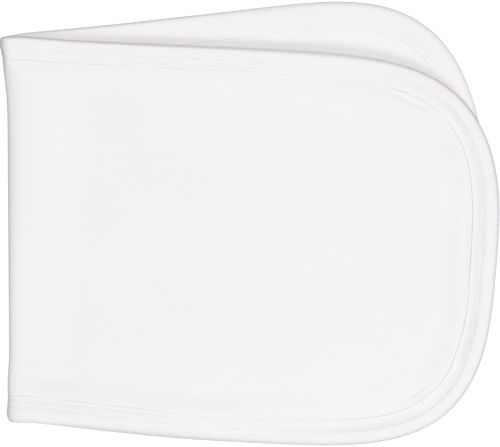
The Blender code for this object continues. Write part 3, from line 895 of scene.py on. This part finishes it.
def thread_tube(turns, from_edge, off, radius, sides):
    """A closed thread carried along a path on the cloth: a circle of points about each place of the path."""
    s, t = flat_place(turns, from_edge)
    middle, normal = middle_and_normal(s, t)
    path = middle + normal * off[:, None]
    tangent = np.roll(path, -1, axis=0) - np.roll(path, 1, axis=0)
    tangent = tangent / np.linalg.norm(tangent, axis=1, keepdims=True)
    side = np.cross(tangent, normal)
    side = side / np.linalg.norm(side, axis=1, keepdims=True)
    up = np.cross(side, tangent)
    angle = FULL_TURN * np.arange(sides) / sides
    points = path[:, None, :] + radius * (np.cos(angle)[None, :, None] * side[:, None, :]
                                          + np.sin(angle)[None, :, None] * up[:, None, :])
    around = np.broadcast_to((turns * PERIMETER)[:, None], points.shape[:2])
    flat = np.stack([around, np.broadcast_to(angle / FULL_TURN, points.shape[:2])], axis=-1)
    return points, flat, grid_faces(len(turns), sides, wrap_rows=True, wrap_columns=True)


def joined(tubes):
    """Several tubes as one set of points, flat places and faces, each facing outwards."""
    points, flats, faces, count = [], [], [], 0
    for tube_points, tube_flat, tube_faces in tubes:
        tube_points = tube_points.reshape(-1, 3)
        faces.append(facing_out(tube_points, tube_faces) + count)
        points.append(tube_points)
        flats.append(tube_flat.reshape(-1, 2))
        count += len(tube_points)
    return np.concatenate(points), np.concatenate(flats), np.concatenate(faces)


class BURPCLOTH_OT_stitches(bpy.types.Operator):
    """Sews the binding down: two rows of needle stitches outside, one run of looper thread inside"""

    bl_idname = "burpcloth.stitches"
    bl_label = "Stitches"

    def execute(self, context):
        settings, thread = context.scene.burpcloth_binding, context.scene.burpcloth_stitches
        stitches = stitches_round(settings)
        material = thread_material("white_polyester_thread", tuple(thread.colour))
        radius = thread.needle_thread / 2
        turns = even_turns(stitches * NEEDLE["steps"])
        width, pull = outer_width(turns), row_pull(turns)
        lip = inner_edge_height(turns, settings)
        over = np.abs(np.sin(0.5 * FULL_TURN * stitches * turns))
        press = PRESS["least"] + PRESS["more_where_pulled"] * pull
        off_face = radius * (NEEDLE["arch"] * over ** NEEDLE["arch_power"] - NEEDLE["sunk"])
        rows = []
        for from_inner in (settings.row_from_inner_edge, settings.row_from_inner_edge + settings.rows_apart):
            from_edge = width * (1.0 - from_inner / BINDING_WIDTH)
            face = face_height(from_inner, lip, pull, press, settings)
            rows.append(thread_tube(turns, from_edge, face + off_face, radius, NEEDLE["sides"]))
        points, flat, faces = joined(rows)
        needle = add_piece("needle_stitches", points, faces, flat, material)

        radius = thread.looper_thread / 2
        turns = even_turns(stitches * LOOPER["steps"])
        swing = np.clip(LOOPER["swing"] * np.sin(FULL_TURN * stitches * turns), -1.0, 1.0)
        from_inner = settings.row_from_inner_edge + settings.rows_apart * (0.5 + 0.5 * swing)
        from_edge = inner_width(turns) * (1.0 - from_inner / BINDING_WIDTH)
        lip, pull = inner_edge_height(turns, settings), np.zeros_like(turns)
        face = face_height(from_inner, lip, pull, pull, settings)
        tube = thread_tube(turns, from_edge, -(face - LOOPER["sunk"] * radius), radius, LOOPER["sides"])
        points, flat, faces = joined([tube])
        looper = add_piece("looper_stitches", points, faces, flat, material)
        return {"FINISHED"}


class BURPCLOTH_OT_stage(bpy.types.Operator):
    """Puts in the floor, the softboxes, the room light and the camera straight above"""

    bl_idname = "burpcloth.stage"
    bl_label = "Stage"

    def execute(self, context):
        scene, settings = context.scene, context.scene.burpcloth_stage
        mesh = bpy.data.meshes.new("floor")
        sides = ((-1, -1), (1, -1), (1, 1), (-1, 1))
        mesh.from_pydata([(x * FLOOR_REACH, y * FLOOR_REACH, 0.0) for x, y in sides], [], [(0, 1, 2, 3)])
        material = bpy.data.materials.new("matt_white_sweep")
        material.use_nodes = True
        shader = material.node_tree.nodes["Principled BSDF"]
        shader.inputs["Base Color"].default_value = (*settings.floor_colour, 1.0)
        shader.inputs["Roughness"].default_value = FLOOR_ROUGHNESS
        shader.inputs["Emission Color"].default_value = (1.0, 1.0, 1.0, 1.0)
        shader.inputs["Emission Strength"].default_value = settings.floor_glow
        mesh.materials.append(material)
        floor = bpy.data.objects.new("floor", mesh)
        floor.visible_diffuse = False
        scene.collection.objects.link(floor)

        for name, box in SOFTBOXES.items():
            light = bpy.data.lights.new(name, "AREA")
            light.shape = "SQUARE"
            light.size = box["size"]
            light.energy = getattr(settings, box["power"])
            softbox = bpy.data.objects.new(name, light)
            lean, turn = box["lean"], box["turn"]
            out = SOFTBOX_DISTANCE * math.sin(lean)
            softbox.location = (out * math.sin(turn), -out * math.cos(turn), SOFTBOX_DISTANCE * math.cos(lean))
            softbox.rotation_euler = (lean, 0.0, turn)
            softbox.visible_camera = False
            scene.collection.objects.link(softbox)

        world = bpy.data.worlds.new("studio")
        world.use_nodes = True
        world.node_tree.nodes["Background"].inputs["Color"].default_value = (1.0, 1.0, 1.0, 1.0)
        world.node_tree.nodes["Background"].inputs["Strength"].default_value = settings.fill
        scene.world = world

        data = bpy.data.cameras.new("camera")
        data.lens = settings.lens
        data.sensor_width = SENSOR_WIDTH
        camera = bpy.data.objects.new("camera", data)
        low, high = CAD_BOX
        aim = Vector(((low.x + high.x) / 2 + AIM_RIGHT_OF_MIDDLE, (low.y + high.y) / 2, AIM_HEIGHT))
        camera.location = aim + Vector((0.0, 0.0, settings.view_width * settings.lens / SENSOR_WIDTH))
        data.clip_end = CAMERA_SEES_TO
        scene.collection.objects.link(camera)
        scene.camera = camera
        scene.view_settings.view_transform = "Standard"
        return {"FINISHED"}


class BURPCLOTH_PT_sidebar(bpy.types.Panel):
    """Steps and sizes of the burp cloth"""

    bl_label = "Burp cloth"
    bl_space_type = "VIEW_3D"
    bl_region_type = "UI"
    bl_category = "Burp cloth"

    def draw(self, context):
        for operator, settings, _ in STEPS:
            box = self.layout.box()
            box.operator(operator.bl_idname)
            group = getattr(context.scene, settings)
            for name in group.__annotations__:
                box.prop(group, name)


STEPS = (
    (BURPCLOTH_OT_panel, "burpcloth_cloth", ClothSettings),
    (BURPCLOTH_OT_binding, "burpcloth_binding", BindingSettings),
    (BURPCLOTH_OT_stitches, "burpcloth_stitches", StitchSettings),
    (BURPCLOTH_OT_stage, "burpcloth_stage", StageSettings),
)
CLASSES = (*(group for _, _, group in STEPS), *(operator for operator, _, _ in STEPS), BURPCLOTH_PT_sidebar)


def register():
    """Registers the classes and gives every scene its settings."""
    for made in CLASSES:
        bpy.utils.register_class(made)
    for _, name, group in STEPS:
        setattr(bpy.types.Scene, name, bpy.props.PointerProperty(type=group))


def unregister():
    """Takes the settings and the classes away again."""
    for _, name, _ in STEPS:
        delattr(bpy.types.Scene, name)
    for made in reversed(CLASSES):
        bpy.utils.unregister_class(made)


def main():
    """Builds the cloth step by step."""
    register()
    bpy.ops.burpcloth.panel()
    bpy.ops.burpcloth.binding()
    bpy.ops.burpcloth.stitches()
    bpy.ops.burpcloth.stage()


if __name__ == "__main__":
    main()
